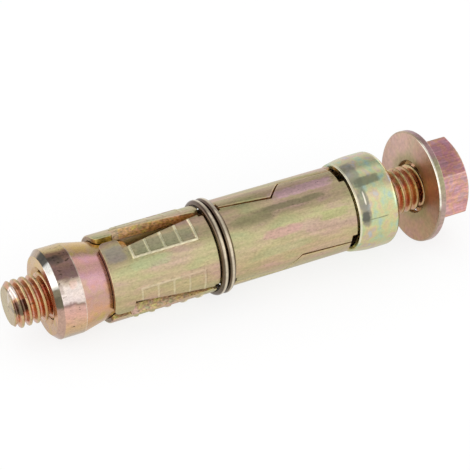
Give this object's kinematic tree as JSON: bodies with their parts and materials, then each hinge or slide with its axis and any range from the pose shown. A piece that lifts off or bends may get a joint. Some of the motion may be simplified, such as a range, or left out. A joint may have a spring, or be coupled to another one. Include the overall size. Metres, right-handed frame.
{
  "type": "shield anchor",
  "caption": "Loose-bolt shield anchor with hexagon bolt, washer, ferrule, split shield held by a spring hoop, and cone expander nut.",
  "frame": {"origin": "middle of the bounding box's base, on the surface that the anchor lies on", "axes": "+X towards the hexagon head; the bolt rises 1.85 degrees towards the head, because the washer's rim is larger than the nut's"},
  "size_m": [0.0614, 0.0144, 0.0144],
  "materials": {
    "bolt_zinc": "yellow-passivated zinc, copper-red on the thread and rose on the head",
    "nut_zinc": "glossy yellow-passivated zinc, pink to gold",
    "shield_zinc": "satin yellow-passivated zinc, straw green with rose streaks",
    "hoop_steel": "drawn spring steel wire, grey-brown",
    "ferrule_zinc": "glossy yellow-passivated zinc, pale green and aqua",
    "washer_zinc": "yellow-passivated zinc, rose-beige to brown"
  },
  "bodies": {
    "shield_core": {"ferrule": "ferrule_zinc", "spring_hoop": "hoop_steel"},
    "washer": {"washer": "washer_zinc"},
    "bolt": {"bolt": "bolt_zinc"},
    "expander_nut": {"expander_nut": "nut_zinc"},
    "segment_front": {"segment_front": "shield_zinc"},
    "segment_top": {"segment_top": "shield_zinc"},
    "segment_under": {"segment_under": "shield_zinc"}
  },
  "joints": [
    {"name": "washer_slide", "type": "slide", "parent": "shield_core", "child": "washer", "axis": [-0.9995, 0, -0.0323], "range_m": [0, 0.0041]},
    {"name": "bolt_turn", "type": "hinge", "parent": "shield_core", "child": "bolt", "pos_m": [0.02642, 0, 0.00723], "axis": [-0.9995, 0, -0.0323], "range_deg": [0, 721]},
    {"name": "nut_draw", "type": "slide", "parent": "shield_core", "child": "expander_nut", "axis": [0.9995, 0, 0.0323], "range_m": [0, 0.002]},
    {"name": "spread_front", "type": "hinge", "parent": "shield_core", "child": "segment_front", "pos_m": [0.01436, -0.00404, 0.00904], "axis": [-0.0284, 0.4772, 0.8784], "range_deg": [0, 1.25]},
    {"name": "spread_top", "type": "hinge", "parent": "shield_core", "child": "segment_top", "pos_m": [0.01435, 0.00392, 0.00924], "axis": [0.0276, 0.5225, -0.8522], "range_deg": [0, 1.25]},
    {"name": "spread_under", "type": "hinge", "parent": "shield_core", "child": "segment_under", "pos_m": [0.01458, 0.00012, 0.00225], "axis": [0.0008, -0.9997, -0.0262], "range_deg": [0, 1.25]}
  ],
  "couplings": [
    {"joint": "bolt_turn", "follows": "nut_draw", "rad_per_m": 6283.2},
    {"joint": "spread_front", "follows": "nut_draw", "rad_per_m": 10.472},
    {"joint": "spread_top", "follows": "nut_draw", "rad_per_m": 10.472},
    {"joint": "spread_under", "follows": "nut_draw", "rad_per_m": 10.472}
  ]
}
